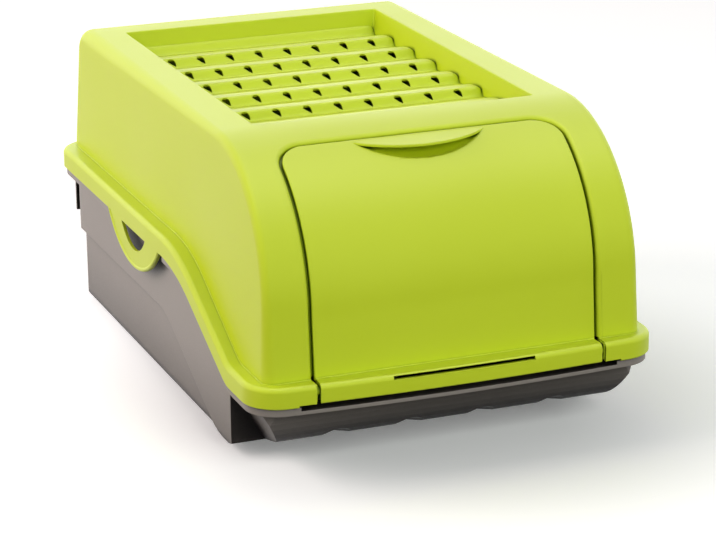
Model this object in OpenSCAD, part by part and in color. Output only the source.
// Potato storage bin: an open tub, a vented hood that lifts off it, and a
// front flap that swings down on two pins at the foot of the hood.
// Millimetres. X is the width, Y runs from the front (-Y) to the back (+Y),
// Z is up, and the origin is the middle of the footprint on the floor.

/* [Overall] */
// Length over the hood's rim, front to back
rim_length = 447; // [430:1:460]
// Width over the hood's rim
rim_width = 280; // [262:1:300]
// Height from the floor to the top of the hood
height = 209; // [200:1:225]

/* [Parting line] */
// Height of the parting line along the back half
joint_back_z = 104.5; // [98:0.5:110]
// Height of the parting line at the front
joint_front_z = 57; // [52:0.5:62]
// Place where the parting line starts to fall, measured back from the rim's front
joint_bend_in = 192.5; // [187:0.5:213]
// Slope of the falling stretch in degrees
joint_slope = 25; // [22:1:30]
// Radius of the upper bend
joint_upper_r = 143; // [100:1:160]
// Radius of the lower bend
joint_lower_r = 30; // [15:1:40]
// Gap between the hood's rim and the tub's rim
seat_gap = 0.3; // [0.2:0.05:0.5]

/* [Hood shell] */
// Wall of the hood
hood_wall = 2.2; // [1.8:0.1:2.8]
// How far the hood's body stands in from the rim's sides, at the top
hood_side_in = 14.5; // [12:0.5:18]
// Draft of the hood's side walls in degrees
hood_draft = 1.8; // [1.5:0.1:2.3]
// Lean of the hood's back wall in degrees
hood_back_lean = 5.5; // [3:0.1:6]
// How far the hood's front wall stands in from the rim's front
hood_front_in = 16.5; // [15:0.5:18]
// How far the hood's back wall stands in from the rim's back, at the top
hood_back_in = 14; // [12.5:0.5:16]
// Radius of the big curve from the top to the front
brow_r = 98; // [92:1:104]
// Radius along the upper edges at the front
edge_r = 5.5; // [4:0.5:9]
// Radius along the upper edges at the back
back_edge_r = 10; // [8:1:14]
// Radius of the upright corners
corner_r = 9; // [7:1:14]

/* [Rim] */
// Height of the hood's rim band
band_h = 14; // [13:0.5:17]
// Radius of the rim's corners seen from above
rim_corner_r = 24; // [22:1:30]
// How far the front of the rim bows out in the middle
rim_bow = 6; // [3:0.5:7]

/* [Vent well] */
// Width of the well in the top
well_w = 195; // [185:1:202]
// Front edge of the well, measured back from the rim's front
well_front_in = 114.5; // [112:0.5:120]
// Back edge of the well, measured in from the rim's back
well_back_in = 50.5; // [46:0.5:56]
// Radius of the well's corners
well_corner_r = 2.5; // [2:0.5:8]
// Depth of the middle of the wavy floor
well_depth = 15.3; // [13:0.1:22]
// Height of the waves from the middle to a crest
wave_h = 3.3; // [2:0.1:3.5]
// Length of a wave's steep front side
fall_l = 4.6; // [4:0.1:12]
// Length of a wave's level crest
crest_l = 2.6; // [1:0.1:6]
// Rows of vent holes
vent_rows = 6; // [4:1:6]
// Vent holes in a row
vent_columns = 8; // [5:1:8]
// Distance between rows
vent_row_pitch = 40.15; // [38:0.05:42]
// Distance between holes in a row
vent_pitch = 22; // [20:0.5:23]
// Radius of a vent's half round
vent_r = 2.9; // [2.4:0.1:4]
// How far a vent's half round is flattened, front to back
vent_flat = 0.62; // [0.5:0.02:1]
// How far the middle of the vent rows lies forward of the well's middle
vent_forward = 3.6; // [1:0.1:6]

/* [Front flap] */
// Width of the flap
flap_w = 193; // [180:1:196]
// Foremost place of the flap's top edge, measured back from the rim's front
flap_top_back = 80.7; // [78:0.1:86]
// Radius of the flap's upper corners
flap_corner_r = 19; // [14:1:24]
// Thickness of the flap's panel
flap_wall = 2.4; // [2:0.1:3]
// How far the panel lies below the hood's surface
flap_inset = 0.6; // [0.3:0.1:1]
// Gap between the flap and the hood
flap_gap = 1.3; // [1:0.1:1.8]
// Lift of the flap's rim band above the hood's
flap_band_lift = 1.5; // [1:0.1:2]
// Diameter of the hinge pins
pin_d = 5; // [4.5:0.1:5.4]
// Clearance between pin and socket, on the radius
pin_clear = 0.05; // [0.03:0.01:0.08]
// How far the pins lie back from the rim's front
pin_back = 7.5; // [7.2:0.1:8.2]
// How far the pins lie above the front parting line
pin_up = 8.5; // [8.2:0.1:9]
// Length of a pin outside the flap
pin_len = 7; // [5:0.5:8]
// Width of the slot in the flap's rim
slot_w = 97; // [60:1:120]
// Height of that slot
slot_h = 2.2; // [1.6:0.1:2.6]
// Width of the finger lip
lip_w = 87; // [70:1:100]
// How far the finger lip bows out
lip_bow = 17; // [12:1:19]
// Thickness of the finger lip at its edge
lip_t = 2.2; // [1.8:0.1:3]

/* [Side loops] */
// Length of a loop along the rim
loop_l = 117; // [90:1:120]
// How far a loop hangs below the rim
loop_drop = 27.5; // [20:0.5:30]
// Distance from the bend of the parting line back to a loop
loop_gap = 4.5; // [2:0.5:12]
// Thickness of a loop
loop_t = 2.2; // [1.8:0.1:3]
// Width of a loop's bead
bead_w = 3; // [2:0.5:4]
// Length of a loop's hole
loop_hole_l = 54; // [40:1:70]
// Depth of a loop's hole
loop_hole_drop = 13.5; // [10:0.5:15]

/* [Tub] */
// Wall of the tub
tub_wall = 2.4; // [2:0.1:3]
// How far the tub's upper band stands in from the rim's sides
tub_side_in = 9.5; // [9:0.5:12]
// Depth of the step below that band
tub_step_in = 3; // [2:0.5:5]
// Back of the upper band, measured in from the rim's back
tub_back_in = 15.5; // [14:0.5:18]
// Front of the upper band, measured in from the rim's front
tub_front_in = 18; // [16:0.5:20]
// Radius of the tub's upright corners
tub_corner_r = 12; // [8:1:18]
// Radius along the tub's bottom edges
tub_bottom_r = 12; // [8:1:16]
// Height of the step at the back
step_z = 57.5; // [50:0.5:60]
// Front edge of the flat floor, measured back from the rim's front
floor_front_in = 106; // [100:1:118]
// Slope of the raised chin in degrees
chin_slope = 18.5; // [16:0.5:20]
// Radius between the chin and the tub's front
chin_r = 30; // [22:1:36]
// Where the slanted sides of the chin begin, measured back from the rim's front
chin_side_in = 78.5; // [70:0.5:90]
// Height at which the chin's sides start to slant inwards
chin_side_z = 52; // [46:0.5:53]
// Slant of the chin's sides in degrees
chin_side_slope = 28.5; // [15:0.5:35]
// Thickness of the tub's rim
tub_rim_t = 5; // [4.5:0.1:6]
// How far the tub's rim stays inside the hood's rim
tub_rim_in = 2; // [1.5:0.1:3]
// Height of the tub's wall above its rim
upstand_h = 8; // [6:0.5:9]
// Distance between the channels under the floor
channel_pitch = 50; // [46:1:52]
// Radius of a channel
channel_r = 16; // [12:1:20]
// Depth of a channel
channel_d = 3; // [2:0.5:4]
// Height of the lip that hangs down at the back
back_lip_h = 38; // [24:1:42]
// How far that lip stands in from the rim's back
back_lip_in = 6; // [5:0.5:7]
// Thickness of that lip
back_lip_t = 2.2; // [2:0.1:3]
// How far that lip ends short of the rim's sides
back_lip_side_in = 12; // [11.5:0.5:25]

/* [Hidden] */

lime = [0.69, 0.78, 0.16];
taupe = [0.45, 0.41, 0.38];

eps = 0.05;
far = 600;

front_y = -rim_length / 2;
back_y = rim_length / 2;

joint_bend_y = front_y + joint_bend_in;

// Hood shell, worked out from the driving sizes
draft = tan(hood_draft);
hood_top_width = rim_width - 2 * hood_side_in;
hood_front_y = front_y + hood_front_in;
hood_back_y = back_y - hood_back_in;
foot_drop = 10;
foot_z = joint_front_z - foot_drop;
foot_grow = (height - foot_z) * draft;
back_grow = (height - foot_z) * tan(hood_back_lean);
brow_y = hood_front_y + brow_r;
brow_z = height - brow_r;
front_lean = foot_grow / (brow_z - foot_z);
back_r = 7.5;
ring_t = 0.5;
shoulder_t = hood_wall;

// Rim outline
bow_r = (pow(rim_width / 2, 2) + pow(rim_bow, 2)) / (2 * rim_bow);
rim_corner_x = rim_width / 2 - rim_corner_r;
rim_corner_y = front_y + bow_r - sqrt(pow(bow_r - rim_corner_r, 2) - pow(rim_corner_x, 2));

// Well
well_mid_z = height - well_depth;
well_front_y = front_y + well_front_in;
well_back_y = back_y - well_back_in;
well_l = well_back_y - well_front_y;
well_y = (well_front_y + well_back_y) / 2;
vent_y = well_y - vent_forward;
vent_row_y = vent_y - (vent_rows - 1) / 2 * vent_row_pitch;
vent_rise = 2.2;
vent_turn = -17;

// Flap
flap_top_y = front_y + flap_top_back;
band_lean = front_lean * (brow_z - joint_front_z - band_h);
brow_angle = asin((brow_y - flap_top_y) / brow_r);
cut_tilt = brow_angle + 9;
cut_reach = 200;
cut_in = 140;
cut_out = 30;
frame_edge = 2;
ledge_w = 5.5;
ledge_t = 2;
ledge_gap = 0.3;
ledge_front = flap_inset + flap_wall + ledge_gap;
ledge_foot_up = 2.5;
ledge_foot_z = joint_front_z + band_h + ledge_foot_up;
pin_y = front_y + pin_back;
pin_z = joint_front_z + pin_up;
pin_root = 3;
socket_wall = 2;
socket_len = pin_len + 2;
socket_out = 0.2;
socket_gap = flap_gap - socket_out;
relief_beyond = 19.5;
relief_half_w = flap_w / 2 + relief_beyond;
relief_l = 60;
slot_drop = 1;
slot_z = joint_front_z + band_h - hood_wall - slot_drop;
lip_drop = 8;
lip_z = height - lip_drop;
lip_root = 4;
lip_fall = 0.9;
lip_reach = 22;
scoop_r = 6.2;
scoop_in = 3.6;

// Loops
loop_in = 2;
loop_x = rim_width / 2 - loop_in;
loop_y = joint_bend_y + loop_gap + loop_l / 2;
loop_root = 4;
bead_out = 1.5;

// Tub
tub_rim_top = -seat_gap;
tub_band_w = rim_width - 2 * tub_side_in;
tub_w = tub_band_w - 2 * tub_step_in;
back_lip_w = rim_width - 2 * back_lip_side_in;
tub_back_y = back_y - tub_back_in;
tub_front_y = front_y + tub_front_in;
floor_front_y = front_y + floor_front_in;
step_bend_gap = 36;
step_bend_y = joint_bend_y + step_bend_gap;
step_r = 60;
sill_drop = 2.8;
sill_half_w = flap_w / 2 + socket_gap + socket_len + 2;
notch_gap = 3;
notch_x = tub_band_w / 2 + 1;

// Points of an S curve that falls from back_z to front_z, from back to front
function fall(bend_y, top_z, low_z, slope, upper_r, lower_r, steps = 8) =
    let (drop = 1 - cos(slope),
         run = ((top_z - low_z) - (upper_r + lower_r) * drop) / tan(slope),
         end_y = bend_y - (upper_r + lower_r) * sin(slope) - run)
    concat(
        [for (i = [0 : steps]) let (a = slope * i / steps)
            [bend_y - upper_r * sin(a), top_z - upper_r * (1 - cos(a))]],
        [for (i = [0 : steps]) let (a = slope * (1 - i / steps))
            [end_y + lower_r * sin(a), low_z + lower_r * (1 - cos(a))]]);

joint_points = concat([[far, joint_back_z]],
    fall(joint_bend_y, joint_back_z, joint_front_z, joint_slope, joint_upper_r, joint_lower_r),
    [[-far, joint_front_z]]);

// A side view outline made a solid across the width
module across(w) {
    rotate([90, 0, 90]) translate([0, 0, -w / 2]) linear_extrude(w) children();
}

// Everything from dz_low to dz_high above the parting line
module joint_slab(dz_low, dz_high) {
    low = [for (p = joint_points) [p[0], p[1] + dz_low]];
    high = [for (i = [len(joint_points) - 1 : -1 : 0]) [joint_points[i][0], joint_points[i][1] + dz_high]];
    across(far) polygon(concat(low, high));
}

module rounded(w, l, r) {
    square([w - 2 * r, l], center = true);
    square([w, l - 2 * r], center = true);
    for (sx = [-1, 1], sy = [-1, 1])
        translate([sx * (w / 2 - r), sy * (l / 2 - r)]) circle(r, $fn = 64);
}

// The rim's outline from above, inset by d
module rim_outline(d) {
    touch_x = rim_corner_x * (bow_r - d) / (bow_r - rim_corner_r);
    half = rim_width / 2 - d;
    intersection() {
        translate([0, front_y + bow_r]) circle(bow_r - d, $fn = 360);
        translate([-touch_x, front_y]) square([2 * touch_x, rim_length / 2]);
    }
    translate([-half, rim_corner_y]) square([2 * half, rim_length / 2]);
    for (side = [-1, 1])
        translate([side * rim_corner_x, rim_corner_y]) circle(rim_corner_r - d, $fn = 64);
    intersection() {
        rounded(2 * half, rim_length - 2 * d, rim_corner_r - d);
        translate([-half, 0]) square([2 * half, rim_length]);
    }
}

// The hood's body with all its rounding, inset by d
module hood_body(d) {
    hull() {
        for (sx = [-1, 1]) {
            for (y = [hood_front_y - foot_grow + corner_r, hood_back_y + back_grow - corner_r])
                translate([sx * (hood_top_width / 2 + foot_grow - corner_r), y, foot_z - d])
                    rim_ring(corner_r - d);
            // rings round the brow at the front, then round the back edge
            for (a = [0 : 7.5 : 90])
                let (z = brow_z + (brow_r - edge_r) * cos(a))
                translate([sx * (hood_top_width / 2 - edge_r + (height - edge_r - z) * draft),
                           brow_y - (brow_r - edge_r) * sin(a), z])
                    rotate([90 + a, 0, 0]) rim_ring(edge_r - d);
            for (a = [0 : 22.5 : 90])
                translate([sx * (hood_top_width / 2 - back_edge_r),
                           hood_back_y - back_edge_r - back_r * (1 - sin(a)),
                           height - back_edge_r - back_r * (1 - cos(a))])
                    rotate([90 - a, 0, 0]) rim_ring(back_edge_r - d);
        }
    }
}

// A thin cone, whose wide end sets one outline of the hood's body
module rim_ring(r) {
    cylinder(r1 = r, r2 = r - ring_t, h = ring_t, $fn = 32);
}

// Side view of a skin that lies from d_out to d_in below the hood's front and brow
module skin_profile(d_out, d_in, foot) {
    intersection() {
        translate([brow_y, brow_z]) difference() {
            circle(brow_r - d_out, $fn = 180);
            circle(brow_r - d_in, $fn = 180);
        }
        translate([brow_y - far, brow_z]) square([far, far]);
    }
    lean = front_lean * (brow_z - foot);
    polygon([[hood_front_y + d_out, brow_z + eps], [hood_front_y + d_in, brow_z + eps],
             [hood_front_y + d_in - lean, foot], [hood_front_y + d_out - lean, foot]]);
}

// The flap's outline as a solid that reaches through the hood's front, grown by g
module flap_prism(g) {
    half = flap_w / 2 + g;
    translate([0, flap_top_y + g, brow_z + brow_r * cos(brow_angle)]) rotate([cut_tilt, 0, 0]) {
        translate([-half + flap_corner_r, -cut_reach, -cut_in])
            cube([2 * (half - flap_corner_r), cut_reach, cut_in + cut_out]);
        translate([-half, -cut_reach, -cut_in])
            cube([2 * half, cut_reach - flap_corner_r, cut_in + cut_out]);
        for (sx = [-1, 1]) translate([sx * (half - flap_corner_r), -flap_corner_r, -cut_in])
            cylinder(r = flap_corner_r, h = cut_in + cut_out, $fn = 96);
    }
}

// Wavy floor of the well, as a side view strip from dz_low to dz_high about its middle
module wave_strip(dz_low, dz_high) {
    y0 = well_front_y - hood_wall;
    y1 = well_back_y + hood_wall;
    rise_l = vent_row_pitch - fall_l - crest_l;
    // steep side in front, level crest, gentle side behind
    function wave(t) = well_mid_z + wave_h * (
        t < fall_l ? -cos(180 * t / fall_l)
        : t < fall_l + crest_l ? 1 : cos(180 * (t - fall_l - crest_l) / rise_l));
    places = concat([for (i = [0 : 5]) fall_l * i / 6], [fall_l],
                    [for (i = [0 : 8]) fall_l + crest_l + rise_l * i / 9]);
    first = vent_row_y - vent_rise;
    function part(y) = (y - first) - vent_row_pitch * floor((y - first) / vent_row_pitch);
    inner = [for (k = [-2 : vent_rows + 1]) for (t = places)
        let (y = first + k * vent_row_pitch + t) if (y > y0 + eps && y < y1 - eps) [y, wave(t)]];
    line = concat([[y0, wave(part(y0))]], inner, [[y1, wave(part(y1))]]);
    n = len(line) - 1;
    polygon(concat([for (p = line) [p[0], p[1] + dz_low]],
                   [for (i = [n : -1 : 0]) [line[i][0], line[i][1] + dz_high]]));
}

module vent_holes() {
    steps = 6;
    for (row = [0 : vent_rows - 1], col = [0 : vent_columns - 1])
        translate([(col - (vent_columns - 1) / 2) * vent_pitch, vent_row_y + row * vent_row_pitch,
                   well_mid_z - wave_h - 3 * hood_wall])
            linear_extrude(2 * wave_h + 6 * hood_wall) rotate(vent_turn)
                polygon([for (i = [0 : steps]) [vent_r * cos(180 * i / steps), vent_r * vent_flat * sin(180 * i / steps)]]);
}

module well_shell() {
    intersection() {
        translate([0, well_y, well_mid_z - wave_h - 2 * hood_wall])
            linear_extrude(well_depth + wave_h + 2 * hood_wall) difference() {
                rounded(well_w + 2 * hood_wall, well_l + 2 * hood_wall, well_corner_r + hood_wall);
                rounded(well_w, well_l, well_corner_r);
            }
        across(far) wave_strip(-hood_wall, 2 * well_depth);
    }
    difference() {
        intersection() {
            across(far) wave_strip(-hood_wall, 0);
            translate([0, well_y, 0]) linear_extrude(far)
                rounded(well_w + hood_wall, well_l + hood_wall, well_corner_r + hood_wall / 2);
        }
        vent_holes();
    }
}

// A grip loop: a round-bottomed tab with a hole and a bead, for one side
module side_loop(side) {
    r = (pow(loop_l / 2, 2) + pow(loop_drop, 2)) / (2 * loop_drop);
    hole_r = (pow(loop_hole_l / 2, 2) + pow(loop_hole_drop, 2)) / (2 * loop_hole_drop);
    cz = joint_back_z - loop_drop + r;
    hole_top_z = joint_back_z - 1;
    module below(z) {
        translate([-far / 2, z - far]) square([far, far]);
    }
    module plate(x_out, t) {
        translate([side * (x_out - t / 2), 0, 0]) across(t) children();
    }
    plate(loop_x, loop_t) difference() {
        intersection() {
            translate([loop_y, cz]) circle(r, $fn = 180);
            below(joint_back_z + loop_root);
        }
        intersection() {
            translate([loop_y, hole_top_z - loop_hole_drop + hole_r]) circle(hole_r, $fn = 96);
            below(hole_top_z);
        }
    }
    plate(loop_x + bead_out, loop_t) intersection() {
        translate([loop_y, cz]) difference() {
            circle(r, $fn = 180);
            circle(r - bead_w, $fn = 180);
        }
        below(joint_back_z + eps);
    }
}

// Socket for one hinge pin, in the hood's rim
module pin_socket(side) {
    x0 = flap_w / 2 + socket_gap;
    translate([side * (x0 + socket_len / 2), 0, 0]) intersection() {
        across(socket_len) translate([front_y, joint_front_z + flap_band_lift + 1])
            square([pin_back + pin_d / 2 + socket_wall, band_h - flap_band_lift - 1 - eps]);
        translate([-side * (x0 + socket_len / 2), 0, 0]) linear_extrude(far) rim_outline(hood_wall / 2);
    }
}

module pin_bore(side) {
    x0 = flap_w / 2 + socket_gap;
    translate([side * (x0 - 1), pin_y, pin_z]) rotate([0, side * 90, 0])
        cylinder(r = pin_d / 2 + pin_clear, h = pin_len - socket_gap + 2, $fn = 48);
}

// Rebate behind the flap's edge, which stops the flap when it closes
module flap_rebate() {
    intersection() {
        across(flap_w + 40) skin_profile(flap_inset, ledge_front + ledge_t, ledge_foot_z);
        difference() {
            flap_prism(flap_gap + frame_edge);
            flap_prism(flap_gap);
        }
    }
    intersection() {
        across(flap_w + 40) skin_profile(ledge_front, ledge_front + ledge_t, ledge_foot_z);
        difference() {
            flap_prism(flap_gap + frame_edge);
            flap_prism(-ledge_w);
        }
    }
}

module hood() {
    color(lime) {
        difference() {
            union() {
                difference() {
                    union() {
                        intersection() {
                            hood_body(0);
                            joint_slab(band_h - shoulder_t, far);
                        }
                        intersection() {
                            linear_extrude(far) rim_outline(0);
                            joint_slab(0, band_h);
                        }
                    }
                    hood_body(hood_wall);
                    intersection() {
                        linear_extrude(far) rim_outline(hood_wall);
                        joint_slab(-10, band_h - shoulder_t);
                    }
                    translate([0, well_y, well_mid_z - 4 * wave_h]) linear_extrude(far)
                        rounded(well_w, well_l, well_corner_r);
                    flap_prism(flap_gap);
                    // relief beside the flap's rim band
                    translate([-relief_half_w, front_y - foot_drop, foot_z])
                        cube([2 * relief_half_w, relief_l, foot_drop + flap_band_lift]);
                }
                well_shell();
                flap_rebate();
                for (side = [-1, 1]) {
                    side_loop(side);
                    pin_socket(side);
                }
            }
            for (side = [-1, 1]) pin_bore(side);
        }
    }
}

// Finger lip: flat on top, hollowed below, bowed like a bay
module finger_lip() {
    r = (pow(lip_w / 2, 2) + pow(lip_bow, 2)) / (2 * lip_bow);
    root_y = flap_top_y - lip_root;
    front = root_y - lip_bow;
    root_r = brow_r - flap_inset - flap_wall / 2;
    scoop_z = lip_z - lip_t - scoop_r;
    intersection() {
        translate([0, front + r, lip_z - lip_reach]) linear_extrude(2 * lip_reach) circle(r, $fn = 180);
        across(lip_w) difference() {
            polygon([[root_y + lip_root, lip_z + lip_fall], [front - lip_root, lip_z - lip_fall],
                     [front - lip_root, lip_z - lip_reach], [root_y + lip_root, lip_z - lip_reach]]);
            translate([brow_y, brow_z]) circle(root_r, $fn = 180);
            // hollow under the lip for the fingertips
            translate([front - scoop_in, scoop_z]) circle(scoop_r, $fn = 64);
            translate([front - 2 * scoop_r, lip_z - 2 * lip_reach])
                square([2 * scoop_r - scoop_in + scoop_r - lip_t, scoop_z - lip_z + 2 * lip_reach]);
        }
    }
}

module front_flap() {
    half = flap_w / 2;
    color(lime) difference() {
        union() {
            intersection() {
                across(flap_w) skin_profile(flap_inset, flap_inset + flap_wall,
                                            joint_front_z + band_h - shoulder_t);
                flap_prism(0);
            }
            finger_lip();
            // rim band and shoulder that the flap carries
            intersection() {
                difference() {
                    linear_extrude(far) rim_outline(0);
                    translate([0, 0, -1]) linear_extrude(joint_front_z + band_h - shoulder_t + 1)
                        rim_outline(hood_wall);
                }
                translate([-half, front_y - 5, joint_front_z + flap_band_lift])
                    cube([flap_w, hood_front_y + flap_inset + flap_wall - band_lean - front_y + 5,
                          band_h - flap_band_lift]);
            }
            // end ribs that carry the pins
            for (side = [-1, 1]) {
                intersection() {
                    linear_extrude(far) rim_outline(hood_wall / 2);
                    translate([side * (half - pin_root / 2), 0, 0]) across(pin_root)
                        translate([front_y, joint_front_z + flap_band_lift + 1.5])
                            square([pin_back + pin_d / 2 + 1, band_h - flap_band_lift - 1.5 - eps]);
                }
                translate([side * (half - pin_root + eps), pin_y, pin_z]) rotate([0, side * 90, 0])
                    cylinder(d = pin_d, h = pin_root + pin_len - eps, $fn = 48);
            }
        }
        translate([-slot_w / 2, front_y - 5, slot_z]) cube([slot_w, 12, slot_h]);
    }
}

// The tub's outside, inset by d, with no rim
module tub_body(d) {
    step_points = concat([[far, step_z]],
        fall(step_bend_y, step_z, -60, joint_slope, step_r, 10), [[-far, -60]]);
    band_l = tub_back_y - tub_front_y;
    band_mid = (tub_back_y + tub_front_y) / 2;
    chin_top_z = joint_front_z;
    // side view: flat floor, raised chin, rounded front
    module side_view() {
        t = tan(chin_slope);
        arc_y = tub_front_y + chin_r;
        arc_z = (floor_front_y - arc_y) * t + chin_r / cos(chin_slope);
        polygon(concat(
            [[back_y, d], [floor_front_y - d * tan(chin_slope / 2), d]],
            [for (i = [0 : 8]) let (a = chin_slope + (90 - chin_slope) * i / 8)
                [arc_y - (chin_r - d) * sin(a), arc_z - (chin_r - d) * cos(a)]],
            [[tub_front_y + d, joint_back_z + upstand_h + 20],
             [back_y, joint_back_z + upstand_h + 20]]));
    }
    module end_view(w) {
        h = joint_back_z + upstand_h + 20;
        r = tub_bottom_r - d;
        translate([-w / 2 + d, d + r]) square([w - 2 * d, h]);
        translate([-w / 2 + d + r, d]) square([w - 2 * d - 2 * r, h]);
        for (sx = [-1, 1]) translate([sx * (w / 2 - d - r), d + r]) circle(r, $fn = 64);
    }
    module one(w, shift) {
        intersection() {
            across(far) side_view();
            rotate([90, 0, 0]) linear_extrude(far, center = true) end_view(w);
            translate([0, band_mid, 0]) linear_extrude(far)
                rounded(w - 2 * d, band_l - 2 * shift - 2 * d, tub_corner_r - d);
        }
    }
    // slanted side of the chin, as the block outside it
    module chin_side(side) {
        foot_x = tub_band_w / 2 - (chin_side_z + tub_bottom_r) * tan(chin_side_slope) - d / cos(chin_side_slope);
        head_x = tub_band_w / 2 + (joint_back_z - chin_side_z) * tan(chin_side_slope) - d / cos(chin_side_slope);
        translate([0, front_y + chin_side_in + d, 0]) rotate([90, 0, 0]) linear_extrude(far)
            polygon([[side * foot_x, -tub_bottom_r], [side * rim_width, -tub_bottom_r],
                     [side * rim_width, joint_back_z], [side * head_x, joint_back_z]]);
    }
    difference() {
        union() {
            intersection() {
                one(tub_band_w, 0);
                across(far) polygon(concat([for (p = step_points) [p[0], p[1] + d]],
                                           [[-far, far], [far, far]]));
            }
            one(tub_w, (tub_band_w - tub_w) / 2);
        }
        for (side = [-1, 1]) chin_side(side);
        // channels under the floor and up the chin
        for (i = [-1.5 : 1 : 1.5]) translate([i * channel_pitch, 0, 0]) {
            translate([0, floor_front_y - 5, channel_d - channel_r]) rotate([-90, 0, 0])
                cylinder(r = channel_r + d, h = rim_length, $fn = 64);
            translate([0, floor_front_y, channel_d - channel_r]) rotate([90 - chin_slope, 0, 0])
                cylinder(r = channel_r + d, h = rim_length / 2, $fn = 64);
        }
    }
}

module base_tub() {
    rim_h = tub_rim_top - tub_rim_t;
    color(taupe) difference() {
        union() {
            intersection() {
                tub_body(0);
                joint_slab(-far, upstand_h);
            }
            // rim under the hood's rim
            intersection() {
                linear_extrude(far) rim_outline(tub_rim_in);
                joint_slab(rim_h, tub_rim_top);
            }
            // lip that hangs from the rim at the back
            translate([-back_lip_w / 2, back_y - back_lip_in - back_lip_t, joint_back_z - back_lip_h])
                cube([back_lip_w, back_lip_t, back_lip_h - 1]);
        }
        tub_body(tub_wall);
        // low sill under the flap
        translate([-sill_half_w, front_y - foot_drop, joint_front_z - sill_drop])
            cube([2 * sill_half_w, relief_l, far]);
        // notches in the rim for the side loops
        for (side = [-1, 1])
            translate([side * (notch_x + 25), loop_y, joint_back_z - 10])
                cube([50, loop_l + 2 * notch_gap, 40], center = true);
    }
}

base_tub();
hood();
front_flap();
